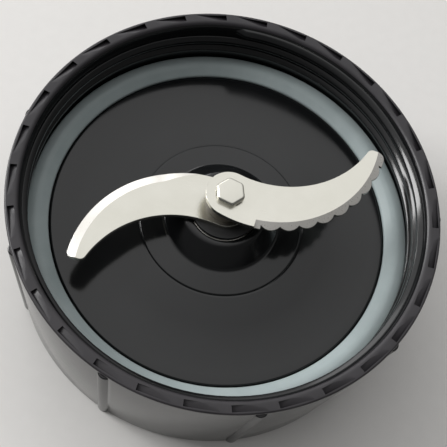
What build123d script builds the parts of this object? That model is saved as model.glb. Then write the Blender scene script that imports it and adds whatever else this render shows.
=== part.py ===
from build123d import *
from math import asin, atan2, cos, degrees, hypot, radians, sin
import os

os.makedirs("parts", exist_ok=True)

# Blender blade base, in millimetres. The foot stands on Z = 0 and the blades spin about +Z.
# The serrated wing points along +X and the plain wing along -X.

# Base cup: jar thread wall, rim and skirt
thread_radius = 43.4
thread_depth = 16.2
lead_in_width = 1.0
lead_in_depth = 1.4
rim_wall = 3.6
rim_edge_chamfer = 0.3
skirt_draft = 2.4
foot_depth = 18.2
foot_wall = 3.0
foot_edge_chamfer = 0.5

# Base cup: gasket groove and floor, which flattens out from its ring line to its edge
groove_width = 5.6
groove_wall_height = 2.9
floor_thickness = 2.6
floor_rise = 1.9
floor_sag = 0.68
ring_line_radius = 18.3
ring_line_step = 0.25

# Base cup: hub above the floor and boss below it, round the bearing
hub_apron_rise = 0.55
hub_height = 4.5
hub_top_land = 1.3
hub_flare = 4.3
hub_edge_chamfer = 0.7
boss_wall = 5.95
boss_length = 13.5

# Ratchet pockets round the rim, each one flat facet that is deepest at its step
pocket_count = 30
pocket_step_angle = 1.3
pocket_inner_land = 0.5
pocket_lip = 0.7
pocket_inner_depth = 0.45
pocket_outer_depth = 1.1
pocket_length = 7.3
pocket_overcut = 0.4

# Grip ribs down the outer wall
grip_rib_count = 9
grip_rib_angle = 16.8
grip_rib_radius = 1.7
grip_rib_proud = 0.6
grip_rib_bite = 0.8
grip_rib_top_gap = 1.2

# Stiffening ribs under the floor
stiffener_count = 6
stiffener_thickness = 2.0
stiffener_depth = 2.0
stiffener_bite = 0.8

# Sealing gasket: a lip with a flat crown between two sloped shoulders, over a narrower foot
gasket_inner_gap = 0.8
gasket_outer_gap = 0.4
gasket_height = 4.5
gasket_inner_shoulder = 1.4
gasket_inner_slope = 1.7
gasket_outer_shoulder = 0.4
gasket_outer_slope = 1.2
gasket_lip_thickness = 0.8
gasket_lip_overhang = 1.8

# Drive shaft: journals, flatted blade seat, threaded stub and tail
shaft_radius = 3.0
seat_flats = 4.2
seat_gap = 0.05
seat_short = 0.2
stub_radius = 1.5
stub_length = 1.1
tail_step = 0.5
tail_recess = 0.3

# Bearing bushes and lip seal
running_clearance = 0.03
bush_wall = 1.97
bush_length = 6.0
bush_recess = 0.9
bush_chamfer = 0.3
seal_height = 2.6
seal_recess = 0.8
seal_wall = 0.9
seal_lip_height = 0.9

# Bearing housing with its seal ring, washer and nut
housing_wall = 1.0
housing_land = 0.6
housing_tail = 1.0
housing_fit_gap = 0.05
flange_width = 1.6
flange_gap = 0.1
flange_thickness = 1.4
flange_sink = 0.5
seal_ring_width = 1.0
seal_ring_gap = 0.02
housing_washer_width = 3.55
housing_washer_thickness = 1.0
housing_nut_wall = 2.45
housing_nut_height = 4.0
housing_nut_chamfer = 0.5

# Thrust washers, slinger washer and retaining ring on the shaft
axial_play = 0.3
washer_hole_gap = 0.02
upper_thrust_width = 2.8
upper_thrust_thickness = 0.4
lower_thrust_gap = 0.3
lower_thrust_thickness = 0.9
slinger_width = 4.5
slinger_thickness = 0.7
ring_groove_depth = 0.6
ring_overhang = 1.2
ring_thickness = 0.8
ring_mouth = 3.6
ring_coupling_gap = 0.6

# Blades: two bent steel blanks, each with a round hub end and one sickle wing
blade_thickness = 1.2
blade_gap = 4.3
spacer_wall = 1.3
blade_hub_margin = 0.9
concave_center_x = 3.4
concave_center_y = 27.75
convex_center_x = 3.6
convex_center_y = 20.0
wing_tip_height = 22.0
wing_tip_radius = 1.3
bend_margin = 0.1
bend_line_angle = 14.0
bend_radius = 1.0
wing_angle = 2.0
lower_heading = 184.5
cutting_edge_thickness = 0.5
plain_bevel_width = 2.0
serrated_bevel_width = 1.7
bevel_start_angle = -82.0
bevel_end_angle = 14.0
bevel_overcut = 0.5
serration_count = 8
serration_depth = 0.8
serration_start_angle = -79.0
serration_tip_gap = 3.07

# Cap nut on the blades
nut_wall = 1.4
nut_height = 1.5
nut_angle = 54.0
nut_chamfer = 0.25
nut_hole_gap = 0.05

# Drive coupling under the base, moulded round a metal insert
coupling_height = 6.2
coupling_hub_wall = 1.78
coupling_plate_thickness = 1.5
fin_count = 8
fin_length = 4.6
fin_thickness = 2.2
insert_wall = 1.48
insert_recess = 0.6
insert_gap = 0.02

# Heights that follow, from the foot up
groove_z = foot_depth + floor_thickness
rim_z = groove_z + thread_depth
floor_edge_z = groove_z + groove_wall_height
floor_under_z = floor_edge_z - floor_thickness
ring_line_z = floor_edge_z + floor_rise
hub_base_z = ring_line_z + ring_line_step + hub_apron_rise
hub_top_z = hub_base_z + hub_height
flange_top_z = hub_top_z - flange_sink
flange_seat_z = flange_top_z - flange_thickness
boss_bottom_z = flange_seat_z - boss_length
apron_z = hub_base_z - floor_thickness

# Heights of the bearing stack, from the flange and the boss down
seal_top_z = flange_top_z - seal_recess
upper_bush_top_z = seal_top_z - seal_height
upper_bush_z = upper_bush_top_z - bush_length
housing_washer_z = boss_bottom_z - housing_washer_thickness
housing_nut_z = housing_washer_z - housing_nut_height
housing_bottom_z = housing_nut_z - housing_tail
lower_bush_z = housing_bottom_z + bush_recess
lower_bush_top_z = lower_bush_z + bush_length

# Heights of the turning stack
upper_thrust_z = flange_top_z + axial_play
slinger_z = upper_thrust_z + upper_thrust_thickness
lower_blade_z = slinger_z + slinger_thickness
spacer_z = lower_blade_z + blade_thickness
upper_blade_z = spacer_z + blade_gap
nut_z = upper_blade_z + blade_thickness
lower_thrust_z = lower_bush_z - axial_play - lower_thrust_thickness
ring_z = lower_thrust_z - ring_thickness
coupling_top_z = ring_z - ring_coupling_gap
coupling_z = coupling_top_z - coupling_height

# Radii of the base cup that follow from the jar thread
rim_radius = thread_radius + rim_wall
foot_radius = rim_radius - skirt_draft
foot_inner_radius = foot_radius - foot_wall
skirt_slope = skirt_draft / (rim_z - rim_edge_chamfer)
skirt_inner_radius = foot_inner_radius + skirt_slope * foot_depth
floor_edge_radius = thread_radius - groove_width
groove_under_radius = floor_edge_radius - floor_thickness
pocket_inner_radius = thread_radius + lead_in_width + pocket_inner_land
pocket_outer_radius = rim_radius - pocket_lip

# Radii that follow from the shaft, going outwards
bush_bore_radius = shaft_radius + running_clearance
housing_bore_radius = bush_bore_radius + bush_wall
housing_radius = housing_bore_radius + housing_wall
hub_bore_radius = housing_radius + housing_fit_gap
flange_radius = housing_radius + flange_width
flange_seat_radius = flange_radius + flange_gap
hub_top_radius = flange_seat_radius + hub_top_land
hub_base_radius = hub_top_radius + hub_flare
boss_radius = hub_bore_radius + boss_wall
washer_hole_radius = shaft_radius + washer_hole_gap
ring_groove_radius = shaft_radius - ring_groove_depth
tail_radius = shaft_radius - tail_step
spacer_radius = shaft_radius + spacer_wall
insert_apothem = tail_radius + insert_gap + insert_wall
coupling_hub_radius = insert_apothem / cos(radians(30)) + coupling_hub_wall
coupling_radius = coupling_hub_radius + fin_length

# Blade outline that follows: both edges of a wing run tangent out of the hub end's circle
blade_hub_radius = spacer_radius + blade_hub_margin
bend_distance = spacer_radius + bend_margin
concave_center = (concave_center_x, concave_center_y)
convex_center = (convex_center_x, convex_center_y)
concave_radius = hypot(*concave_center) - blade_hub_radius
convex_radius = hypot(*convex_center) + blade_hub_radius
convex_tip_angle = degrees(asin((wing_tip_height - convex_center_y) / convex_radius))
serration_end_angle = convex_tip_angle - degrees(serration_tip_gap / convex_radius)


def flatted_section(gap):
    """Draw the shaft's upper section, a circle with two flats, widened by a gap."""
    Circle(shaft_radius + gap)
    Rectangle(2 * (shaft_radius + gap), seat_flats + 2 * gap, mode=Mode.INTERSECT)


def arc_point(center, radius, angle):
    """Return the point of an arc at an angle in degrees."""
    return (center[0] + radius * cos(radians(angle)), center[1] + radius * sin(radians(angle)))


# Grip rib: a half-round bar that leans with the outer wall, trimmed at the foot
with BuildPart() as grip_rib:
    with BuildSketch(Plane((foot_radius, 0, 0), x_dir=(1, 0, -skirt_slope), z_dir=(skirt_slope, 0, 1))):
        with Locations((grip_rib_proud - grip_rib_radius, 0)):
            Circle(grip_rib_radius)
        with Locations((-grip_rib_bite, 0)):
            Rectangle(
                grip_rib_bite + grip_rib_proud,
                2 * grip_rib_radius,
                align=(Align.MIN, Align.CENTER),
                mode=Mode.INTERSECT,
            )
    extrude(amount=rim_z - grip_rib_top_gap, both=True)
    split(bisect_by=Plane.XY, keep=Keep.TOP)

# Room of one rim pocket: its facet slopes up from the step and outward down to the lip
facet_slope = pocket_outer_depth / pocket_length
with BuildPart() as rim_pocket:
    for radius, depth in (
        (pocket_inner_radius, pocket_inner_depth),
        (pocket_outer_radius, pocket_outer_depth),
    ):
        with BuildSketch(Plane.YZ.offset(radius)):
            with BuildLine():
                Polyline(
                    (-pocket_length / 2, rim_z - depth),
                    ((depth + pocket_overcut) / facet_slope - pocket_length / 2, rim_z + pocket_overcut),
                    (-pocket_length / 2, rim_z + pocket_overcut),
                    close=True,
                )
            make_face()
    loft()
pocket_turn = pocket_step_angle + degrees(atan2(pocket_length, pocket_inner_radius + pocket_outer_radius))

# Stiffening rib from the bearing boss to the skirt, let into the floor above it
with BuildPart() as stiffener:
    with BuildSketch(Plane.XZ):
        with BuildLine():
            Polyline(
                (boss_radius - stiffener_bite, foot_depth - stiffener_depth),
                (skirt_inner_radius, foot_depth - stiffener_depth),
                (skirt_inner_radius + stiffener_bite, foot_depth),
                (skirt_inner_radius, foot_depth + stiffener_bite),
                (groove_under_radius + stiffener_bite, foot_depth + stiffener_bite),
                (groove_under_radius + stiffener_bite, floor_under_z + stiffener_bite),
                (boss_radius - stiffener_bite, apron_z + stiffener_bite),
                close=True,
            )
        make_face()
    extrude(amount=stiffener_thickness / 2, both=True)

# Base cup: one moulding with skirt, rim, thread wall, gasket groove, floor and hub
with BuildPart() as base_cup:
    with BuildSketch(Plane.XZ):
        with BuildLine():
            Polyline(
                (foot_inner_radius, 0),
                (foot_radius - foot_edge_chamfer, 0),
                (foot_radius + skirt_slope * foot_edge_chamfer, foot_edge_chamfer),
                (rim_radius, rim_z - rim_edge_chamfer),
                (rim_radius - rim_edge_chamfer, rim_z),
                (thread_radius + lead_in_width, rim_z),
                (thread_radius, rim_z - lead_in_depth),
                (thread_radius, groove_z),
                (floor_edge_radius, groove_z),
                (floor_edge_radius, floor_edge_z),
            )
            ThreePointArc(
                (floor_edge_radius, floor_edge_z),
                (
                    (floor_edge_radius + ring_line_radius) / 2,
                    (floor_edge_z + ring_line_z) / 2 - floor_sag,
                ),
                (ring_line_radius, ring_line_z),
            )
            Polyline(
                (ring_line_radius, ring_line_z),
                (ring_line_radius, ring_line_z + ring_line_step),
                (hub_base_radius, hub_base_z),
                (hub_top_radius, hub_top_z),
                (flange_seat_radius, hub_top_z),
                (flange_seat_radius, flange_seat_z),
                (hub_bore_radius + seal_ring_width, flange_seat_z),
                (hub_bore_radius + seal_ring_width, flange_seat_z - seal_ring_width),
                (hub_bore_radius, flange_seat_z - seal_ring_width),
                (hub_bore_radius, boss_bottom_z),
                (boss_radius, boss_bottom_z),
                (boss_radius, apron_z),
                (groove_under_radius, floor_under_z),
                (groove_under_radius, foot_depth),
                (skirt_inner_radius, foot_depth),
                (foot_inner_radius, 0),
            )
        make_face()
    revolve(axis=Axis.Z)
    circles = base_cup.edges().filter_by(GeomType.CIRCLE)
    chamfer(circles.sort_by(lambda circle: abs(circle.radius - hub_top_radius))[0], hub_edge_chamfer)
    with PolarLocations(0, stiffener_count):
        add(stiffener.part)
    with PolarLocations(0, grip_rib_count, start_angle=grip_rib_angle):
        add(grip_rib.part)
    with PolarLocations(0, pocket_count, start_angle=pocket_turn):
        add(rim_pocket.part, mode=Mode.SUBTRACT)
base_cup.part.label = "base_cup"
export_step(base_cup.part, "parts/base_cup.step")

# Sealing gasket, its foot in the groove and its lip reaching over it to the floor's edge
gasket_inner_radius = floor_edge_radius + gasket_inner_gap
gasket_outer_radius = thread_radius - gasket_outer_gap
gasket_foot_radius = gasket_inner_radius + gasket_lip_overhang
gasket_top_z = groove_z + gasket_height
gasket_lip_z = gasket_top_z - gasket_inner_shoulder - gasket_lip_thickness
with BuildPart() as sealing_gasket:
    with BuildSketch(Plane.XZ):
        with BuildLine():
            Polyline(
                (gasket_foot_radius, groove_z),
                (gasket_outer_radius, groove_z),
                (gasket_outer_radius, gasket_top_z - gasket_outer_shoulder),
                (gasket_outer_radius - gasket_outer_slope, gasket_top_z),
                (gasket_inner_radius + gasket_inner_slope, gasket_top_z),
                (gasket_inner_radius, gasket_top_z - gasket_inner_shoulder),
                (gasket_inner_radius, gasket_lip_z),
                (gasket_foot_radius, gasket_lip_z),
                close=True,
            )
        make_face()
    revolve(axis=Axis.Z)
sealing_gasket.part.label = "sealing_gasket"
export_step(sealing_gasket.part, "parts/sealing_gasket.step")

# Bearing housing: a flanged sleeve whose bore keeps a land between the two bushes
with BuildPart() as bearing_housing:
    with BuildSketch(Plane.XZ):
        with BuildLine():
            Polyline(
                (housing_bore_radius, housing_bottom_z),
                (housing_radius, housing_bottom_z),
                (housing_radius, flange_seat_z),
                (flange_radius, flange_seat_z),
                (flange_radius, flange_top_z),
                (housing_bore_radius, flange_top_z),
                (housing_bore_radius, upper_bush_z),
                (housing_bore_radius - housing_land, upper_bush_z),
                (housing_bore_radius - housing_land, lower_bush_top_z),
                (housing_bore_radius, lower_bush_top_z),
                close=True,
            )
        make_face()
    revolve(axis=Axis.Z)
bearing_housing.part.label = "bearing_housing"
export_step(bearing_housing.part, "parts/bearing_housing.step")

# Upper bush: a sintered bearing under the seal
with BuildPart() as upper_bush:
    with BuildSketch(Plane.XY.offset(upper_bush_z)):
        Circle(housing_bore_radius)
        Circle(bush_bore_radius, mode=Mode.SUBTRACT)
    extrude(amount=bush_length)
    chamfer(upper_bush.edges().filter_by(GeomType.CIRCLE), bush_chamfer)
upper_bush.part.label = "upper_bush"
export_step(upper_bush.part, "parts/upper_bush.step")

# Lower bush: the same bearing at the tail of the housing
with BuildPart() as lower_bush:
    with BuildSketch(Plane.XY.offset(lower_bush_z)):
        Circle(housing_bore_radius)
        Circle(bush_bore_radius, mode=Mode.SUBTRACT)
    extrude(amount=bush_length)
    chamfer(lower_bush.edges().filter_by(GeomType.CIRCLE), bush_chamfer)
lower_bush.part.label = "lower_bush"
export_step(lower_bush.part, "parts/lower_bush.step")

# Shaft lip seal: a rubber ring with a web and one lip that runs on the shaft
with BuildPart() as shaft_lip_seal:
    with BuildSketch(Plane.XZ):
        with BuildLine():
            Polyline(
                (housing_bore_radius, upper_bush_top_z),
                (housing_bore_radius, seal_top_z),
                (bush_bore_radius, seal_top_z),
                (bush_bore_radius, seal_top_z - seal_lip_height),
                (housing_bore_radius - seal_wall, seal_top_z - seal_lip_height),
                (housing_bore_radius - seal_wall, upper_bush_top_z),
                close=True,
            )
        make_face()
    revolve(axis=Axis.Z)
shaft_lip_seal.part.label = "shaft_lip_seal"
export_step(shaft_lip_seal.part, "parts/shaft_lip_seal.step")

# Housing seal ring: a rubber ring in the groove under the flange
with BuildPart() as housing_seal_ring:
    with BuildSketch(Plane.XY.offset(flange_seat_z - seal_ring_width + seal_ring_gap)):
        Circle(hub_bore_radius + seal_ring_width - seal_ring_gap)
        Circle(hub_bore_radius + seal_ring_gap, mode=Mode.SUBTRACT)
    extrude(amount=seal_ring_width - 2 * seal_ring_gap)
housing_seal_ring.part.label = "housing_seal_ring"
export_step(housing_seal_ring.part, "parts/housing_seal_ring.step")

# Housing washer, against the boss
with BuildPart() as housing_washer:
    with BuildSketch(Plane.XY.offset(housing_washer_z)):
        Circle(hub_bore_radius + housing_washer_width)
        Circle(hub_bore_radius, mode=Mode.SUBTRACT)
    extrude(amount=housing_washer_thickness)
housing_washer.part.label = "housing_washer"
export_step(housing_washer.part, "parts/housing_washer.step")

# Housing nut, which clamps the housing to the base
with BuildPart() as housing_nut:
    with BuildSketch(Plane.XY.offset(housing_nut_z)):
        RegularPolygon(hub_bore_radius + housing_nut_wall, 6, major_radius=False)
        Circle(hub_bore_radius, mode=Mode.SUBTRACT)
    extrude(amount=housing_nut_height)
    nut_corners = housing_nut.edges().filter_by(GeomType.LINE).filter_by(Axis.Z, reverse=True)
    chamfer(nut_corners.group_by(Axis.Z)[0], housing_nut_chamfer)
housing_nut.part.label = "housing_nut"
export_step(housing_nut.part, "parts/housing_nut.step")

# Drive shaft: two journals, a ring groove, a flatted seat for the blades and a threaded stub
with BuildPart() as drive_shaft:
    with BuildSketch(Plane.XZ):
        with BuildLine():
            Polyline(
                (0, coupling_z + tail_recess),
                (tail_radius, coupling_z + tail_recess),
                (tail_radius, coupling_top_z),
                (shaft_radius, coupling_top_z),
                (shaft_radius, ring_z),
                (ring_groove_radius, ring_z),
                (ring_groove_radius, lower_thrust_z),
                (shaft_radius, lower_thrust_z),
                (shaft_radius, slinger_z),
                (0, slinger_z),
                close=True,
            )
        make_face()
    revolve(axis=Axis.Z)
    with BuildSketch(Plane.XY.offset(slinger_z)):
        flatted_section(0)
    extrude(amount=nut_z - seat_short - slinger_z)
    with BuildSketch(Plane.XY.offset(nut_z - seat_short)):
        Circle(stub_radius)
    extrude(amount=stub_length + seat_short - nut_hole_gap)
drive_shaft.part.label = "drive_shaft"
export_step(drive_shaft.part, "parts/drive_shaft.step")

# Upper thrust washer, running on the housing flange
with BuildPart() as upper_thrust_washer:
    with BuildSketch(Plane.XY.offset(upper_thrust_z)):
        Circle(shaft_radius + upper_thrust_width)
        Circle(washer_hole_radius, mode=Mode.SUBTRACT)
    extrude(amount=upper_thrust_thickness)
upper_thrust_washer.part.label = "upper_thrust_washer"
export_step(upper_thrust_washer.part, "parts/upper_thrust_washer.step")

# Slinger washer, the black ring under the plain blade
with BuildPart() as slinger_washer:
    with BuildSketch(Plane.XY.offset(slinger_z)):
        Circle(shaft_radius + slinger_width)
    extrude(amount=slinger_thickness)
    with BuildSketch(Plane.XY.offset(slinger_z)):
        flatted_section(seat_gap)
    extrude(amount=slinger_thickness, mode=Mode.SUBTRACT)
slinger_washer.part.label = "slinger_washer"
export_step(slinger_washer.part, "parts/slinger_washer.step")


def blade_blank(tooth_count):
    """Draw a blade's flat blank, its wing along +X and its convex edge plain or serrated."""
    concave_start = degrees(atan2(-concave_center_y, -concave_center_x))
    concave_end = degrees(asin((wing_tip_height - concave_center_y) / concave_radius))
    convex_start = degrees(atan2(-convex_center_y, -convex_center_x))
    hub_start = concave_start + 180
    with BuildSketch(mode=Mode.PRIVATE) as blank:
        with BuildLine():
            CenterArc((0, 0), blade_hub_radius, hub_start, convex_start + 360 - hub_start)
            edge_start = convex_start
            if tooth_count > 0:
                edge_start = serration_end_angle
                pitch = (serration_end_angle - serration_start_angle) / tooth_count
                cusp_radius = convex_radius - serration_depth
                CenterArc(convex_center, convex_radius, convex_start, serration_start_angle - convex_start)
                Line(
                    arc_point(convex_center, convex_radius, serration_start_angle),
                    arc_point(convex_center, cusp_radius, serration_start_angle),
                )
                for tooth in range(tooth_count):
                    cusp_angle = serration_start_angle + tooth * pitch
                    ThreePointArc(
                        arc_point(convex_center, cusp_radius, cusp_angle),
                        arc_point(convex_center, convex_radius, cusp_angle + pitch / 2),
                        arc_point(convex_center, cusp_radius, cusp_angle + pitch),
                    )
                Line(
                    arc_point(convex_center, cusp_radius, serration_end_angle),
                    arc_point(convex_center, convex_radius, serration_end_angle),
                )
            CenterArc(convex_center, convex_radius, edge_start, convex_tip_angle - edge_start)
            Line(
                arc_point(convex_center, convex_radius, convex_tip_angle),
                arc_point(concave_center, concave_radius, concave_end),
            )
            CenterArc(concave_center, concave_radius, concave_start, concave_end - concave_start)
        make_face()
        fillet(blank.vertices().group_by(Axis.Y)[-1], wing_tip_radius)
    return blank.sketch


def bent_blade(seat_z, heading, bevel_width, tooth_count):
    """Make one blade: the blank bent up along a slanted line and ground on its convex edge."""
    blank = blade_blank(tooth_count)
    cover = 2 * convex_radius
    fold_point = arc_point((0, 0), bend_distance, bend_line_angle)
    up = Vector(0, 0, 1)
    seat_plane = Plane((0, 0, seat_z), x_dir=Vector(*arc_point((0, 0), 1, heading)), z_dir=up)

    # The bend turns about a line above the blade
    fold_along = Vector(*arc_point((0, 0), 1, heading + bend_line_angle))
    fold_axis = fold_along.cross(up)
    bend_center = Vector(0, 0, seat_z + blade_thickness + bend_radius) + fold_along * bend_distance
    hinge = Plane(bend_center, x_dir=fold_along, z_dir=fold_axis).location
    wing_plane = Plane(hinge * Rotation(0, 0, wing_angle) * hinge.inverse() * seat_plane.location)

    with BuildPart() as blade:
        # Flat hub end, as far as the bend
        with BuildSketch(seat_plane):
            add(blank)
            with Locations(fold_point):
                Rectangle(
                    cover,
                    cover,
                    rotation=bend_line_angle,
                    align=(Align.MAX, Align.CENTER),
                    mode=Mode.INTERSECT,
                )
        extrude(amount=blade_thickness)

        # Bend, turned from the end of the flat
        bend_face = blade.faces().sort_by(Axis((0, 0, 0), fold_along))[-1]
        revolve(bend_face, axis=Axis(bend_center, fold_axis), revolution_arc=wing_angle)

        # Wing beyond the bend
        with BuildSketch(wing_plane):
            add(blank)
            with Locations(fold_point):
                Rectangle(
                    cover,
                    cover,
                    rotation=bend_line_angle,
                    align=(Align.MIN, Align.CENTER),
                    mode=Mode.INTERSECT,
                )
        extrude(amount=blade_thickness)

        # Bevel ground on top of the convex edge
        bevel_slope = (blade_thickness - cutting_edge_thickness) / bevel_width
        bevel_top = blade_thickness + bevel_overcut * bevel_slope
        bevel_bottom = cutting_edge_thickness - bevel_overcut * bevel_slope
        bevel_origin = wing_plane.from_local_coords(Vector(*convex_center))
        bevel_turn = Rotation(0, 0, bevel_start_angle)
        bevel_x = Plane(wing_plane.location * bevel_turn).x_dir
        with BuildSketch(Plane(bevel_origin, x_dir=bevel_x, z_dir=bevel_x.cross(wing_plane.z_dir))):
            with BuildLine():
                Polyline(
                    (convex_radius - bevel_width - bevel_overcut, bevel_top),
                    (convex_radius + bevel_overcut, bevel_bottom),
                    (convex_radius + bevel_overcut, bevel_top),
                    close=True,
                )
            make_face()
        revolve(
            axis=Axis(bevel_origin, wing_plane.z_dir),
            revolution_arc=bevel_end_angle - bevel_start_angle,
            mode=Mode.SUBTRACT,
        )

        # Flatted hole for the shaft
        with BuildSketch(Plane.XY.offset(seat_z)):
            flatted_section(seat_gap)
        extrude(amount=blade_thickness, mode=Mode.SUBTRACT)
    return blade


# Lower blade: plain edge
lower_blade = bent_blade(lower_blade_z, lower_heading, plain_bevel_width, 0)
lower_blade.part.label = "lower_blade"
export_step(lower_blade.part, "parts/lower_blade.step")

# Blade spacer, between the two hub ends
with BuildPart() as blade_spacer:
    with BuildSketch(Plane.XY.offset(spacer_z)):
        Circle(spacer_radius)
        Circle(shaft_radius + seat_gap, mode=Mode.SUBTRACT)
    extrude(amount=blade_gap)
blade_spacer.part.label = "blade_spacer"
export_step(blade_spacer.part, "parts/blade_spacer.step")

# Upper blade: serrated edge
upper_blade = bent_blade(upper_blade_z, 0, serrated_bevel_width, serration_count)
upper_blade.part.label = "upper_blade"
export_step(upper_blade.part, "parts/upper_blade.step")

# Blade nut: a closed hexagon nut on the shaft's stub
with BuildPart() as blade_nut:
    with BuildSketch(Plane.XY.offset(nut_z)):
        RegularPolygon(stub_radius + nut_wall, 6, major_radius=False, rotation=nut_angle)
    extrude(amount=nut_height)
    chamfer(blade_nut.faces().sort_by(Axis.Z)[-1].edges(), nut_chamfer)
    with BuildSketch(Plane.XY.offset(nut_z)):
        Circle(stub_radius + nut_hole_gap)
    extrude(amount=stub_length, mode=Mode.SUBTRACT)
blade_nut.part.label = "blade_nut"
export_step(blade_nut.part, "parts/blade_nut.step")

# Lower thrust washer, held up by the retaining ring
with BuildPart() as lower_thrust_washer:
    with BuildSketch(Plane.XY.offset(lower_thrust_z)):
        Circle(housing_bore_radius - lower_thrust_gap)
        Circle(washer_hole_radius, mode=Mode.SUBTRACT)
    extrude(amount=lower_thrust_thickness)
lower_thrust_washer.part.label = "lower_thrust_washer"
export_step(lower_thrust_washer.part, "parts/lower_thrust_washer.step")

# Retaining ring: an open clip snapped into the shaft's groove
with BuildPart() as retaining_ring:
    with BuildSketch(Plane.XY.offset(ring_z)):
        Circle(shaft_radius + ring_overhang)
        Circle(ring_groove_radius, mode=Mode.SUBTRACT)
        Rectangle(
            shaft_radius + ring_overhang,
            ring_mouth,
            align=(Align.MIN, Align.CENTER),
            mode=Mode.SUBTRACT,
        )
    extrude(amount=ring_thickness)
retaining_ring.part.label = "retaining_ring"
export_step(retaining_ring.part, "parts/retaining_ring.step")

# Drive coupling: a hub with radial fins under a round plate
with BuildPart() as drive_coupling:
    with BuildSketch(Plane.XY.offset(coupling_z)):
        Circle(coupling_hub_radius)
        with PolarLocations(0, fin_count):
            Rectangle(coupling_radius, fin_thickness, align=(Align.MIN, Align.CENTER))
        Circle(coupling_radius, mode=Mode.INTERSECT)
    extrude(amount=coupling_height)
    with BuildSketch(Plane.XY.offset(coupling_top_z)):
        Circle(coupling_radius)
    extrude(amount=-coupling_plate_thickness)
    with BuildSketch(Plane.XY.offset(coupling_z)):
        RegularPolygon(insert_apothem + insert_gap, 6, major_radius=False)
    extrude(amount=coupling_height, mode=Mode.SUBTRACT)
drive_coupling.part.label = "drive_coupling"
export_step(drive_coupling.part, "parts/drive_coupling.step")

# Coupling insert: a hexagon bush pressed on the shaft's tail
with BuildPart() as coupling_insert:
    with BuildSketch(Plane.XY.offset(coupling_z + insert_recess)):
        RegularPolygon(insert_apothem, 6, major_radius=False)
        Circle(tail_radius + insert_gap, mode=Mode.SUBTRACT)
    extrude(amount=coupling_height - insert_recess)
coupling_insert.part.label = "coupling_insert"
export_step(coupling_insert.part, "parts/coupling_insert.step")
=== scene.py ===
"""Blender blade assembly: a black screw-on base cup, its gasket, two steel blades and their drive."""

from math import atan2, cos, degrees, hypot, pi, radians, sin

import bmesh
import bpy
from mathutils import Matrix, Vector


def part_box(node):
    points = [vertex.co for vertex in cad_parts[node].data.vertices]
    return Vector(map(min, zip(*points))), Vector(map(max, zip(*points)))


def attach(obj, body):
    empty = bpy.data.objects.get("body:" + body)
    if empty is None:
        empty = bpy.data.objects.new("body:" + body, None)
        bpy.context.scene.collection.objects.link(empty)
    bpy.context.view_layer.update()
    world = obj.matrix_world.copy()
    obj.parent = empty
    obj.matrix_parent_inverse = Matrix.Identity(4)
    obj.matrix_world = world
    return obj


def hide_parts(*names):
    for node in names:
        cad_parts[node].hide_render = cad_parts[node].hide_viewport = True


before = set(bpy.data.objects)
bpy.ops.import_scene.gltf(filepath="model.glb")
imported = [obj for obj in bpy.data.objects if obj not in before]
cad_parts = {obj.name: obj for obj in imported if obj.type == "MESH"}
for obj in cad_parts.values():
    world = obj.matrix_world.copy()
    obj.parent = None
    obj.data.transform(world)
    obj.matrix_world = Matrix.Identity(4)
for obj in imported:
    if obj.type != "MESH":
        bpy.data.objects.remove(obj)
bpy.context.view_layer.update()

# Lengths are in millimetres until a piece is finished; the frame is in metres
mm = 0.001


def reach(node):
    """Return a round node's outer radius, lowest height and highest height in millimetres."""
    low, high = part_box(node)
    return (high[0] - low[0]) / 2 / mm, low[2] / mm, high[2] / mm


# Levels and radii that the frame gives
gasket_radius, groove_z, gasket_top_z = reach("sealing_gasket")
flange_radius, _, flange_top_z = reach("bearing_housing")
_, nut_z, nut_top_z = reach("blade_nut")
boss_bottom_z = reach("housing_washer")[2]
rim_z = reach("base_cup")[2]

# Base cup: wall, rim, skirt and gasket groove
gasket_outer_gap = 0.4
rim_wall = 3.6
skirt_draft = 2.4
foot_wall = 3.0
lead_in_width = 1.0
lead_in_depth = 1.4
groove_width = 5.6
groove_wall_height = 2.9
floor_thickness = 2.6

# Base cup: floor, which flattens towards its edge and has a fine ring line round the hub
floor_rise = 1.9
floor_slope = 0.16
floor_bend_radius = 31.0
floor_bend_share = 0.95
ring_line_radius = 18.3
ring_line_step = 0.25
ring_line_width = 0.45
ring_line_depth = 0.12
ring_line_lean = 0.1

# Base cup: hub above the floor, boss below it, and the seat of the bearing in both
hub_apron_rise = 0.55
hub_top_land = 1.3
hub_flare = 3.9
flange_gap = 0.1
flange_sink = 0.5
flange_thickness = 1.4
flange_width = 1.55
seal_ring_width = 1.0
boss_wall = 5.95

# Base cup: radii and levels that follow
thread_radius = gasket_radius + gasket_outer_gap
rim_radius = thread_radius + rim_wall
foot_radius = rim_radius - skirt_draft
foot_depth = groove_z - floor_thickness
skirt_slope = (rim_radius - foot_radius) / rim_z
skirt_inner_radius = foot_radius - foot_wall + skirt_slope * foot_depth
floor_edge_radius = thread_radius - groove_width
floor_edge_z = groove_z + groove_wall_height
floor_under_z = floor_edge_z - floor_thickness
groove_under_radius = floor_edge_radius - floor_thickness
ring_line_z = floor_edge_z + floor_rise
floor_bend_z = ring_line_z - floor_slope * (floor_bend_radius - ring_line_radius)
floor_bend_round = floor_bend_share * (floor_edge_radius - floor_bend_radius)
apron_z = ring_line_z + ring_line_step
flange_seat_radius = flange_radius + flange_gap
flange_seat_z = flange_top_z - flange_thickness
hub_base_z = apron_z + hub_apron_rise
hub_top_z = flange_top_z + flange_sink
hub_top_radius = flange_seat_radius + hub_top_land
hub_base_radius = hub_top_radius + hub_flare
hub_bore_radius = flange_radius - flange_width
boss_radius = hub_bore_radius + boss_wall

# Ratchet pockets round the rim
pocket_count = 30
pocket_step_angle = 1.3
pocket_inner_land = 0.5
pocket_lip = 0.7
pocket_inner_radius = thread_radius + lead_in_width + pocket_inner_land
pocket_outer_radius = rim_radius - pocket_lip
pocket_inner_depth = 0.45
pocket_outer_depth = 1.1
pocket_length = 7.3
pocket_overcut = 0.4

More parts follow.
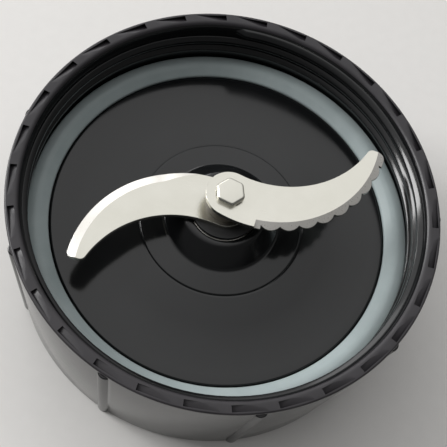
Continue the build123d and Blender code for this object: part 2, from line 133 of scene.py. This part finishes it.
# Grip ribs down the wall and stiffening ribs under the floor
grip_rib_count = 9
grip_rib_angle = 16.8
grip_rib_radius = 1.7
grip_rib_proud = 0.6
grip_rib_bite = 0.8
grip_rib_top_gap = 1.2
grip_rib_round = 0.3
stiffener_count = 6
stiffener_thickness = 2.0
stiffener_depth = 2.0
stiffener_bite = 0.8

# Where the cup's polish stops: just inside the skirt's outer face, just below the rim pockets,
# and where a face looks down or, on the rim, up
outside_margin = 0.5
rim_top_margin = 0.1
looks_down, looks_up = -0.5, 0.3

# Jar thread inside the wall
thread_turns = 2.6
thread_pitch = 3.4
thread_start_z = 26.2
thread_proud = 1.0
thread_root = 2.3
thread_crest = 0.9
thread_round = 0.15
thread_bite = 0.4
thread_start_angle = 250
thread_end_sink = 0.05

# Gasket section
gasket_inner_gap = 0.3
gasket_inner_radius = floor_edge_radius + gasket_inner_gap
gasket_lip_overhang = 2.3
gasket_lip_thickness = 0.8
gasket_lip_radius = gasket_inner_radius + gasket_lip_overhang
gasket_inner_shoulder = 1.4
gasket_inner_slope = 2.2
gasket_outer_shoulder = 0.4
gasket_outer_slope = 1.2
gasket_lip_z = gasket_top_z - gasket_inner_shoulder - gasket_lip_thickness

# Plain blade's bevel, ground on an arc; the arc's centre and start are those of a blade along +X
bevel_center = (3.6, 20.0, 0)
bevel_start_angle = -82.0
bevel_heading = 184.5
bevel_width = 2.0
bevel_depth = 0.7
bevel_run_out = 8.0
bevel_start_share = 0.05
bevel_start_slack = 0.1

# Upward part of a blade face's normal: a bevel's lies between the first two, a wing's flat top is above
bevel_steepest, bevel_flattest = 0.3, 0.97
nearly_level = 0.9999

# Blade nut
nut_apothem = 2.9
nut_angle = 54
nut_corner_round = 0.5
nut_top_round = 0.55

# Edge roundings of the pieces that keep their CAD shape, by how they are made
blade_edge_round = 0.1
turned_edge_round = 0.08
clamped_edge_round = 0.1
flange_edge_round = 0.3
slinger_edge_round = 0.12
coupling_edge_round = 0.2

# Camera, as the photograph was taken
camera_place = (0.906, -96.02, 227.58)
camera_tilt = 25.19
camera_roll = 20.55
camera_lens = 80.54
camera_sensor = 36

# Studio dome: the way towards its brightest part, where it starts and stops fading, and its levels
brightest_way = (-0.35, 0.55, 0.75)
dome_fade_end, dome_fade_start = 0.3, 0.87
dome_dimmest, dome_brightest = 0.12, 1.0

studio_floor_reach = 1500

# Steps in a full turn, the gap below which points are one, and the angles that make an edge sharp or flat
turn_steps = 240
merge_gap = 0.001
sharp_angle = 35
blade_sharp_angle = 12
flat_angle = 0.5

# Index of refraction of ABS, which nylon shares
abs_ior = 1.53


def linear(hex_code):
    """Turn an sRGB hex colour into linear RGBA."""
    parts = [int(hex_code[i : i + 2], 16) / 255 for i in (1, 3, 5)]
    return (*(c / 12.92 if c <= 0.04045 else ((c + 0.055) / 1.055) ** 2.4 for c in parts), 1.0)


def per(size):
    """Return a texture scale whose pattern repeats about every size millimetres."""
    return 1 / (size * mm)


def link(thing):
    """Put an object in the scene."""
    bpy.context.scene.collection.objects.link(thing)


def add_node(tree, kind, sockets, **settings):
    """Add a node, set its properties, and set or wire each of its sockets."""
    node = tree.nodes.new(kind)
    for name, value in settings.items():
        setattr(node, name, value)
    for name, value in sockets.items():
        if isinstance(value, bpy.types.NodeSocket):
            tree.links.new(value, node.inputs[name])
        else:
            node.inputs[name].default_value = value
    return node


def add_noise(tree, place, size, detail):
    """Add noise with blotches about size millimetres across, and return its strength."""
    noise = add_node(tree, "ShaderNodeTexNoise", {"Vector": place, "Scale": per(size), "Detail": detail})
    return noise.outputs["Fac"]


def mix_tones(tree, pattern, dark, pale):
    """Blend two colours by a pattern and return the blend."""
    tones = {0: pattern, 6: linear(dark), 7: linear(pale)}
    return add_node(tree, "ShaderNodeMix", tones, data_type="RGBA").outputs[2]


def start_material(name):
    """Return a new material, its node tree, its shader and the piece's own coordinates."""
    material = bpy.data.materials.new(name)
    material.use_nodes = True
    tree = material.node_tree
    place = add_node(tree, "ShaderNodeTexCoord", {})
    return material, tree, tree.nodes["Principled BSDF"], place.outputs["Object"]


def wire_surface(tree, shader, tone, rough_by, roughness, bump_by, bump_strength, bump_height):
    """Give a shader its tone, a roughness between two levels and a bump, by the patterns that drive them."""
    smoothest, roughest = roughness
    rough = add_node(
        tree, "ShaderNodeMapRange", {"Value": rough_by, "To Min": smoothest, "To Max": roughest}
    )
    bump = add_node(
        tree,
        "ShaderNodeBump",
        {"Height": bump_by, "Strength": bump_strength, "Distance": bump_height * mm},
    )
    tree.links.new(tone, shader.inputs["Base Color"])
    tree.links.new(rough.outputs["Result"], shader.inputs["Roughness"])
    tree.links.new(bump.outputs["Normal"], shader.inputs["Normal"])


def polished_black_abs():
    """Black ABS from a polished mould: a dark mirror under a haze of fine wiping scratches."""
    material, tree, shader, place = start_material("polished_black_abs")
    haze = add_noise(tree, place, 9, 3)
    tone = mix_tones(tree, haze, "#0f1011", "#171819")
    # Wiping scratches run round the hub, so they are drawn as rings broken up by noise
    rings = add_node(
        tree,
        "ShaderNodeTexWave",
        {"Vector": place, "Scale": per(9), "Distortion": 3, "Detail": 3, "Detail Scale": 2},
        wave_type="RINGS",
        rings_direction="Z",
    )
    wire_surface(tree, shader, tone, haze, (0.08, 0.18), rings.outputs["Fac"], 0.02, 0.02)
    shader.inputs["IOR"].default_value = abs_ior
    return material


def moulded_black_abs():
    """Black ABS as it leaves an eroded mould: satin, with a fine grain and rubbed paler spots."""
    material, tree, shader, place = start_material("moulded_black_abs")
    rub = add_noise(tree, place, 6, 4)
    grain = add_noise(tree, place, 0.4, 2)
    tone = mix_tones(tree, rub, "#1b191c", "#353236")
    wire_surface(tree, shader, tone, rub, (0.26, 0.46), grain, 0.25, 0.05)
    shader.inputs["IOR"].default_value = abs_ior
    return material


def grey_silicone():
    """Moulded silicone rubber: a soft blue-grey with a dull sheen and slight clouding."""
    material, tree, shader, place = start_material("grey_silicone")
    cloud = add_noise(tree, place, 5, 4)
    fine = add_noise(tree, place, 0.5, 2)
    tone = mix_tones(tree, cloud, "#99a5a6", "#acb7b7")
    wire_surface(tree, shader, tone, cloud, (0.34, 0.5), fine, 0.15, 0.05)
    shader.inputs["IOR"].default_value = 1.41
    return material


def stainless_steel(name, dark, pale, roughness, grain_size):
    """Stainless steel: a warm grey metal whose rolling or turning grain blurs what it mirrors."""
    material, tree, shader, place = start_material(name)
    stretched = add_node(
        tree, "ShaderNodeMapping", {"Vector": place, "Scale": [per(size) for size in grain_size]}
    )
    grain = add_node(
        tree, "ShaderNodeTexNoise", {"Vector": stretched.outputs["Vector"], "Scale": 1, "Detail": 4}
    )
    stain = add_noise(tree, place, 7, 3)
    tone = mix_tones(tree, stain, dark, pale)
    wire_surface(tree, shader, tone, grain.outputs["Fac"], roughness, grain.outputs["Fac"], 0.1, 0.01)
    shader.inputs["Metallic"].default_value = 1.0
    return material


def speckled(name, dark, pale, speck_size, roughness, ior, metallic=0.0):
    """A dull material with fine specks: nylon, rubber or sintered bronze, as its name says."""
    material, tree, shader, place = start_material(name)
    speck = add_noise(tree, place, speck_size, 4)
    tone = mix_tones(tree, speck, dark, pale)
    wire_surface(tree, shader, tone, speck, roughness, speck, 0.2, 0.04)
    shader.inputs["IOR"].default_value = ior
    shader.inputs["Metallic"].default_value = metallic
    return material


def matt_studio_paper():
    """Studio paper: a pale, even ground that takes soft shadows and shows no gloss."""
    material, tree, shader, place = start_material("matt_studio_paper")
    tone = mix_tones(tree, add_noise(tree, place, 3, 3), "#e4e2df", "#e9e7e4")
    tree.links.new(tone, shader.inputs["Base Color"])
    shader.inputs["Roughness"].default_value = 0.9
    return material


cup_gloss = polished_black_abs()
cup_satin = moulded_black_abs()
gasket_silicone = grey_silicone()
# Flats of the blades: bright, with a fine grain along the sheet
blade_steel = stainless_steel("rolled_blade_steel", "#d7d5ca", "#e4e2d9", (0.21, 0.3), (9, 0.25, 0.25))
# Ground bevels: whiter than the flats, and a little duller from the wheel
edge_steel = stainless_steel("ground_blade_edge", "#d9d5ce", "#e8e6e1", (0.238, 0.34), (0.3, 0.3, 4))
# Turned pieces: grey, with fine rings left by the tool
turned_steel = stainless_steel("turned_stainless_steel", "#cfccc5", "#dddad3", (0.224, 0.32), (4, 4, 0.2))
# Spacer between the blades: a dark brown steel tone, which is painted shade for the gap between the blades
spacer_shade_steel = stainless_steel("shade_darkened_steel", "#3f3a34", "#544d45", (0.252, 0.36), (4, 4, 0.2))
# Slinger and coupling: a dull black beside the cup's gloss
coupling_nylon = speckled("moulded_black_nylon", "#151515", "#242425", 0.5, (0.4, 0.58), abs_ior)
# Thrust washers: a waxy cream
washer_nylon = speckled("natural_nylon", "#cfc8b6", "#ded8c8", 0.6, (0.4, 0.55), abs_ior)
# Seals: the dullest black
seal_rubber = speckled("black_nitrile_rubber", "#101010", "#1d1d1d", 0.4, (0.6, 0.8), 1.52)
# Bushes: a grainy brown metal
bush_bronze = speckled("sintered_bronze", "#7d5a33", "#a17a4a", 0.25, (0.42, 0.62), 1.5, metallic=1.0)


def to_mesh(shape, name):
    """Turn a bmesh in millimetres into a mesh in metres."""
    bmesh.ops.scale(shape, vec=(mm, mm, mm), verts=shape.verts)
    mesh = bpy.data.meshes.new(name)
    shape.to_mesh(mesh)
    shape.free()
    return mesh


def add_piece(name, mesh, body, slot, *materials):
    """Put a mesh in the scene as a piece that rides on a body, shaded smooth between sharp edges."""
    piece = bpy.data.objects.new(name, mesh)
    link(piece)
    for material in materials:
        mesh.materials.append(material)
    mesh.shade_smooth()
    mesh.set_sharp_from_angle(angle=radians(sharp_angle))
    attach(piece, body)
    return piece


def all_of(shape):
    """Return every corner, edge and face of a shape."""
    return shape.verts[:] + shape.edges[:] + shape.faces[:]


def corners_in(geometry):
    """Return the corners in what an operator gave back."""
    return [item for item in geometry if isinstance(item, bmesh.types.BMVert)]


def turn(shape, angle):
    """Turn a shape round the axis by an angle in degrees."""
    matrix = Matrix.Rotation(radians(angle), 3, "Z")
    bmesh.ops.rotate(shape, verts=shape.verts, cent=(0, 0, 0), matrix=matrix)


def thicken(shape, way):
    """Draw a flat outline out along a way into a solid, and return the corners of its new end."""
    drawn = bmesh.ops.extrude_face_region(shape, geom=shape.faces[:], use_keep_orig=True)
    new_end = corners_in(drawn["geom"])
    bmesh.ops.translate(shape, verts=new_end, vec=way)
    return new_end


def round_off(shape, geom, size, segments, affect):
    """Round the corners of an outline or the edges of a solid."""
    bmesh.ops.bevel(
        shape,
        geom=geom,
        offset=size,
        offset_type="OFFSET",
        segments=segments,
        profile=0.5,
        affect=affect,
        material=-1,
    )


def turn_profile(corners):
    """Turn a closed section, given as (radius, height, rounding) corners, once round the axis."""
    shape = bmesh.new()
    points = [shape.verts.new((radius, 0, height)) for radius, height, _ in corners]
    shape.faces.new(points)
    for point, (_, _, rounding) in zip(points, corners):
        if rounding:
            round_off(shape, [point], rounding, 6, "VERTICES")
    bmesh.ops.delete(shape, geom=shape.faces[:], context="FACES_ONLY")
    bmesh.ops.spin(
        shape,
        geom=shape.verts[:] + shape.edges[:],
        axis=(0, 0, 1),
        cent=(0, 0, 0),
        angle=2 * pi,
        steps=turn_steps,
        use_merge=True,
    )
    bmesh.ops.remove_doubles(shape, verts=shape.verts, dist=merge_gap)
    bmesh.ops.recalc_face_normals(shape, faces=shape.faces)
    return shape


def repeat_round(shape, count, first_angle):
    """Turn a shape to its first angle and repeat it evenly round the axis."""
    turn(shape, first_angle)
    bmesh.ops.spin(
        shape,
        geom=all_of(shape),
        axis=(0, 0, 1),
        cent=(0, 0, 0),
        angle=2 * pi * (count - 1) / count,
        steps=count - 1,
        use_duplicate=True,
    )
    bmesh.ops.recalc_face_normals(shape, faces=shape.faces)


def combine(mesh, shape, operation):
    """Join a shape to a mesh, or cut it out of it, and return the new mesh."""
    block = bpy.data.objects.new("block", mesh)
    tool = bpy.data.objects.new("tool", to_mesh(shape, "tool"))
    for thing in (block, tool):
        link(thing)
    cut = block.modifiers.new("cut", "BOOLEAN")
    cut.operation = operation
    cut.solver = "EXACT"
    cut.object = tool
    result = bpy.data.meshes.new_from_object(block.evaluated_get(bpy.context.evaluated_depsgraph_get()))
    for thing in (block, tool):
        bpy.data.meshes.remove(thing.data)
    return result


# Base cup: one turned section, then ribs joined on and rim pockets cut out
cup_shape = turn_profile(
    (
        (foot_radius - foot_wall, 0, 0.3),
        (foot_radius, 0, 0.6),
        (rim_radius, rim_z, 0.45),
        (thread_radius + lead_in_width, rim_z, 0.6),
        (thread_radius, rim_z - lead_in_depth, 0.8),
        (thread_radius, groove_z, 0.3),
        (floor_edge_radius, groove_z, 0.3),
        (floor_edge_radius, floor_edge_z, 0.4),
        (floor_bend_radius, floor_bend_z, floor_bend_round),
        (ring_line_radius + ring_line_width, ring_line_z - floor_slope * ring_line_width, 0.1),
        (ring_line_radius + ring_line_lean, ring_line_z - ring_line_depth, 0.05),
        (ring_line_radius, apron_z, 0.3),
        (hub_base_radius, hub_base_z, 0.5),
        (hub_top_radius, hub_top_z, 0.9),
        (flange_seat_radius, hub_top_z, 0.2),
        (flange_seat_radius, flange_seat_z, 0),
        (hub_bore_radius + seal_ring_width, flange_seat_z, 0),
        (hub_bore_radius + seal_ring_width, flange_seat_z - seal_ring_width, 0),
        (hub_bore_radius, flange_seat_z - seal_ring_width, 0),
        (hub_bore_radius, boss_bottom_z, 0.2),
        (boss_radius, boss_bottom_z, 0.4),
        (boss_radius, hub_base_z - floor_thickness, 0.8),
        (groove_under_radius, floor_under_z, 0.8),
        (groove_under_radius, foot_depth, 0.8),
        (skirt_inner_radius, foot_depth, 0.8),
    )
)
cup_mesh = to_mesh(cup_shape, "cup")

# Grip rib: a round bar cut to the part that stands out of the wall, leaning with the wall
grip_ribs = bmesh.new()
bmesh.ops.create_circle(grip_ribs, cap_ends=True, radius=grip_rib_radius, segments=32)
bmesh.ops.translate(
    grip_ribs, verts=grip_ribs.verts, vec=(foot_radius + grip_rib_proud - grip_rib_radius, 0, 0)
)
bmesh.ops.bisect_plane(
    grip_ribs,
    geom=all_of(grip_ribs),
    plane_co=(foot_radius - grip_rib_bite, 0, 0),
    plane_no=(1, 0, 0),
    clear_inner=True,
)
bar_height = rim_z - grip_rib_top_gap
bar_top = thicken(grip_ribs, (skirt_slope * bar_height, 0, bar_height))
bar_top_edges = [edge for edge in grip_ribs.edges if all(end in bar_top for end in edge.verts)]
round_off(grip_ribs, bar_top_edges, grip_rib_round, 3, "EDGES")
repeat_round(grip_ribs, grip_rib_count, grip_rib_angle)
cup_mesh = combine(cup_mesh, grip_ribs, "UNION")

# Stiffening rib: a thin web from the boss to the skirt, let into the floor above it
stiffeners = bmesh.new()
web = [
    stiffeners.verts.new((radius, -stiffener_thickness / 2, height))
    for radius, height in (
        (boss_radius - stiffener_bite, foot_depth - stiffener_depth),
        (skirt_inner_radius, foot_depth - stiffener_depth),
        (skirt_inner_radius + stiffener_bite, foot_depth),
        (skirt_inner_radius, foot_depth + stiffener_bite),
        (groove_under_radius + stiffener_bite, foot_depth + stiffener_bite),
        (groove_under_radius + stiffener_bite, floor_under_z + stiffener_bite),
        (boss_radius - stiffener_bite, hub_base_z - floor_thickness + stiffener_bite),
    )
]
stiffeners.faces.new(web)
thicken(stiffeners, (0, stiffener_thickness, 0))
repeat_round(stiffeners, stiffener_count, 0)
cup_mesh = combine(cup_mesh, stiffeners, "UNION")

# Rim pocket: a wedge that is deepest at its step and deeper at the outer lip
pockets = bmesh.new()
facet_slope = pocket_outer_depth / pocket_length
step_y = -pocket_length / 2
for radius, depth in ((pocket_inner_radius, pocket_inner_depth), (pocket_outer_radius, pocket_outer_depth)):
    pockets.verts.new((radius, step_y, rim_z - depth))
    pockets.verts.new((radius, step_y, rim_z + pocket_overcut))
    pockets.verts.new((radius, step_y + (depth + pocket_overcut) / facet_slope, rim_z + pocket_overcut))
bmesh.ops.convex_hull(pockets, input=pockets.verts[:])
half_pocket_angle = degrees(atan2(pocket_length, pocket_inner_radius + pocket_outer_radius))
repeat_round(pockets, pocket_count, pocket_step_angle + half_pocket_angle)
cup_mesh = combine(cup_mesh, pockets, "DIFFERENCE")

# The bowl and the outer wall are polished; the rim's top and the underside are satin
cup = add_piece("cup_moulding", cup_mesh, "base", "black_abs", cup_satin, cup_gloss)
for face in cup_mesh.polygons:
    height = face.center.z / mm
    outside = hypot(face.center.x, face.center.y) / mm > foot_radius - outside_margin
    polished = (outside or height > groove_z) and face.normal.z > looks_down
    on_rim = outside and height > rim_z - pocket_outer_depth - rim_top_margin
    rim_top = on_rim and face.normal.z > looks_up
    face.material_index = int(polished and not rim_top)
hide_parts("base_cup")

# Jar thread: a ridge that winds up the wall and sinks into it at both ends
thread_shape = bmesh.new()
ridge = [
    thread_shape.verts.new((radius, 0, height))
    for radius, height in (
        (thread_radius + thread_bite, thread_start_z - thread_root / 2),
        (thread_radius, thread_start_z - thread_root / 2),
        (thread_radius - thread_proud, thread_start_z - thread_crest / 2),
        (thread_radius - thread_proud, thread_start_z + thread_crest / 2),
        (thread_radius, thread_start_z + thread_root / 2),
        (thread_radius + thread_bite, thread_start_z + thread_root / 2),
    )
]
thread_shape.faces.new(ridge)
round_off(thread_shape, ridge[1:5], thread_round, 4, "VERTICES")
turn(thread_shape, thread_start_angle)
first_ring = thread_shape.verts[:]
thread_steps = round(thread_turns * turn_steps / 2)
winding = bmesh.ops.spin(
    thread_shape,
    geom=all_of(thread_shape),
    axis=(0, 0, 1),
    cent=(0, 0, 0),
    dvec=(0, 0, thread_turns * thread_pitch / thread_steps),
    angle=2 * pi * thread_turns,
    steps=thread_steps,
)
for end_ring in (first_ring, corners_in(winding["geom_last"])):
    way_out = Vector((end_ring[0].co.x, end_ring[0].co.y, 0)).normalized()
    bmesh.ops.translate(thread_shape, verts=end_ring, vec=way_out * (thread_proud + thread_end_sink))
bmesh.ops.holes_fill(thread_shape, edges=[edge for edge in thread_shape.edges if edge.is_boundary])
bmesh.ops.recalc_face_normals(thread_shape, faces=thread_shape.faces)
add_piece("jar_thread", to_mesh(thread_shape, "jar_thread"), "base", "black_abs", cup_gloss)

# Sealing gasket: a crowned lip over a narrower foot
gasket_shape = turn_profile(
    (
        (gasket_lip_radius, groove_z, 0.2),
        (gasket_radius, groove_z, 0.2),
        (gasket_radius, gasket_top_z - gasket_outer_shoulder, 0.3),
        (gasket_radius - gasket_outer_slope, gasket_top_z, 0.7),
        (gasket_inner_radius + gasket_inner_slope, gasket_top_z, 0.8),
        (gasket_inner_radius, gasket_top_z - gasket_inner_shoulder, 0.35),
        (gasket_inner_radius, gasket_lip_z, 0.2),
        (gasket_lip_radius, gasket_lip_z, 0.2),
    )
)
gasket = add_piece(
    "gasket_ring", to_mesh(gasket_shape, "gasket_ring"), "base", "grey_silicone", gasket_silicone
)
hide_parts("sealing_gasket")


def dress(node, body, slot, edge_round, *materials):
    """Replace a CAD node by a merged copy of it whose sharp edges are slightly rounded."""
    shape = bmesh.new()
    shape.from_mesh(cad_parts[node].data)
    bmesh.ops.remove_doubles(shape, verts=shape.verts, dist=merge_gap * mm)
    bmesh.ops.dissolve_limit(
        shape, angle_limit=radians(flat_angle), verts=shape.verts, edges=shape.edges, delimit={"NORMAL"}
    )
    mesh = bpy.data.meshes.new(node + "_dressed")
    shape.to_mesh(mesh)
    shape.free()
    piece = add_piece(node + "_dressed", mesh, body, slot, *materials)
    rounding = piece.modifiers.new("edge_round", "BEVEL")
    rounding.width = edge_round * mm
    rounding.segments = 2
    rounding.limit_method = "ANGLE"
    rounding.angle_limit = radians(sharp_angle)
    rounding.harden_normals = True
    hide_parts(node)
    return piece


def is_ground(face):
    """Say whether a blade's face is a ground bevel: it leans more than a flat and less than an edge."""
    return bevel_steepest < face.normal.z < bevel_flattest


def run_out_bevel(blade):
    """Let the plain bevel grow from nothing over its first stretch, as a grinding wheel leaves it."""
    shape = bmesh.new()
    shape.from_mesh(blade.data)
    center = Matrix.Rotation(radians(bevel_heading), 3, "Z") @ (Vector(bevel_center) * mm)
    # The wing's flat top leans a little, and the blade's middle lies level
    wing_top = max(
        shape.faces,
        key=lambda face: face.calc_area() * (bevel_flattest < face.normal.z < nearly_level),
    )
    ground = {corner for face in shape.faces if is_ground(face) for corner in face.verts}
    edge_radius = max((corner.co - center).xy.length for corner in ground)
    start = radians(bevel_heading + bevel_start_angle)
    start_place = center.xy + edge_radius * Vector((cos(start), sin(start)))
    step_top = min(
        (corner for corner in shape.verts if corner not in ground),
        key=lambda corner: (corner.co.xy - start_place).length - corner.co.z,
    )
    for corner in ground:
        spoke = (corner.co - center).xy
        # Corners on the start may lie a hair before it, so the turn is counted from just before it
        turned = (atan2(spoke.y, spoke.x) - start + bevel_start_slack) % (2 * pi) - bevel_start_slack
        grown = turned * edge_radius / (bevel_run_out * mm)
        if grown < bevel_start_share:
            corner.co = step_top.co
        elif grown < 1:
            inset = edge_radius - spoke.length
            across = inset / (bevel_width * mm)
            corner.co.xy = center.xy + spoke.normalized() * (edge_radius - inset * grown)
            lean = wing_top.normal.xy.dot(corner.co.xy - wing_top.verts[0].co.xy) / wing_top.normal.z
            corner.co.z = wing_top.verts[0].co.z - lean - (1 - across) * grown * bevel_depth * mm
    bmesh.ops.remove_doubles(shape, verts=shape.verts, dist=merge_gap * mm)
    bmesh.ops.recalc_face_normals(shape, faces=shape.faces)
    shape.to_mesh(blade.data)
    shape.free()


# Blades: the rolled flats and the ground bevels have their own finish
for node in ("lower_blade", "upper_blade"):
    blade = dress(node, "blade_rotor", "blade_steel", blade_edge_round, blade_steel, edge_steel)
    if node == "lower_blade":
        run_out_bevel(blade)
    blade.data.set_sharp_from_angle(angle=radians(blade_sharp_angle))
    for face in blade.data.polygons:
        face.material_index = int(is_ground(face))

# Spindle and bearing: turned, clamped and moulded pieces
# The spacer's dark tone is painted shade for the gap between the blades
dress("blade_spacer", "blade_rotor", "turned_steel", turned_edge_round, spacer_shade_steel)
for node in ("drive_shaft", "retaining_ring", "coupling_insert"):
    dress(node, "blade_rotor", "turned_steel", turned_edge_round, turned_steel)
for node in ("housing_washer", "housing_nut"):
    dress(node, "base", "turned_steel", clamped_edge_round, turned_steel)
dress("bearing_housing", "base", "turned_steel", flange_edge_round, turned_steel)
dress("slinger_washer", "blade_rotor", "black_nylon", slinger_edge_round, coupling_nylon)
dress("drive_coupling", "blade_rotor", "black_nylon", coupling_edge_round, coupling_nylon)
dress("lower_thrust_washer", "blade_rotor", "natural_nylon", turned_edge_round, washer_nylon)

# Blade nut: a hexagon cap with well rounded corners
nut_shape = bmesh.new()
bmesh.ops.create_circle(nut_shape, cap_ends=True, radius=nut_apothem / cos(pi / 6), segments=6)
turn(nut_shape, nut_angle - 90)
bmesh.ops.translate(nut_shape, verts=nut_shape.verts, vec=(0, 0, nut_z))
thicken(nut_shape, (0, 0, nut_top_z - nut_z))
bmesh.ops.recalc_face_normals(nut_shape, faces=nut_shape.faces)
upright_edges = [edge for edge in nut_shape.edges if edge.verts[0].co.z != edge.verts[1].co.z]
round_off(nut_shape, upright_edges, nut_corner_round, 3, "EDGES")
top_edges = [
    edge for edge in nut_shape.edges if min(end.co.z for end in edge.verts) > nut_top_z - merge_gap
]
round_off(nut_shape, top_edges, nut_top_round, 4, "EDGES")
nut = add_piece("nut_cap", to_mesh(nut_shape, "nut_cap"), "blade_rotor", "turned_steel", blade_steel)
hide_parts("blade_nut")

# Nodes whose CAD shape is right and which stay inside
for node, material in (
    ("upper_thrust_washer", washer_nylon),
    ("shaft_lip_seal", seal_rubber),
    ("housing_seal_ring", seal_rubber),
    ("upper_bush", bush_bronze),
    ("lower_bush", bush_bronze),
):
    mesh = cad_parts[node].data
    mesh.materials.clear()
    mesh.materials.append(material)

# Pale studio floor
floor_shape = bmesh.new()
bmesh.ops.create_grid(floor_shape, x_segments=1, y_segments=1, size=studio_floor_reach)
floor = bpy.data.objects.new("studio_floor", to_mesh(floor_shape, "studio_floor"))
link(floor)
floor.data.materials.append(matt_studio_paper())

# Soft light: a dome that is brightest high over the far side, a key on the left, a panel far off,
# and a low panel on the left that draws the bright stripes on the thread
world = bpy.data.worlds.new("studio_dome")
world.use_nodes = True
bpy.context.scene.world = world
sky = world.node_tree
sky_place = add_node(sky, "ShaderNodeTexCoord", {})
sky_nearness = add_node(
    sky,
    "ShaderNodeVectorMath",
    {0: sky_place.outputs["Generated"], 1: brightest_way},
    operation="DOT_PRODUCT",
)
sky_level = add_node(
    sky,
    "ShaderNodeMapRange",
    {
        "Value": sky_nearness.outputs["Value"],
        "From Min": dome_fade_end,
        "From Max": dome_fade_start,
        "To Min": dome_dimmest,
        "To Max": dome_brightest,
    },
)
sky.nodes["Background"].inputs["Color"].default_value = (1, 1, 1, 1)
sky.links.new(sky_level.outputs["Result"], sky.nodes["Background"].inputs["Strength"])


def add_panel(name, direction, distance, width, height, radiance):
    """Hang a soft rectangular light that faces the object, as bright as the radiance says."""
    light = bpy.data.lights.new(name, "AREA")
    light.shape = "RECTANGLE"
    light.size = width * mm
    light.size_y = height * mm
    light.energy = radiance * pi * light.size * light.size_y
    panel = bpy.data.objects.new(name, light)
    towards = Vector(direction).normalized()
    panel.location = towards * distance * mm
    panel.rotation_euler = towards.to_track_quat("Z", "Y").to_euler()
    link(panel)


add_panel("key_panel", (-0.78, -0.02, 0.62), distance=1000, width=320, height=320, radiance=12)
add_panel("far_panel", (-0.54, 0.74, 0.40), distance=1100, width=470, height=470, radiance=1.4)
add_panel("side_panel", (-0.9, 0.21, 0.33), distance=1100, width=400, height=260, radiance=12)

# Camera at the photograph's angle
camera = bpy.data.objects.new("camera", bpy.data.cameras.new("camera"))
camera.data.lens = camera_lens
camera.data.sensor_width = camera_sensor
camera.matrix_world = (
    Matrix.Translation(Vector(camera_place) * mm)
    @ Matrix.Rotation(radians(camera_tilt), 4, "X")
    @ Matrix.Rotation(radians(camera_roll), 4, "Z")
)
link(camera)
bpy.context.scene.camera = camera
bpy.context.scene.view_settings.view_transform = "Standard"
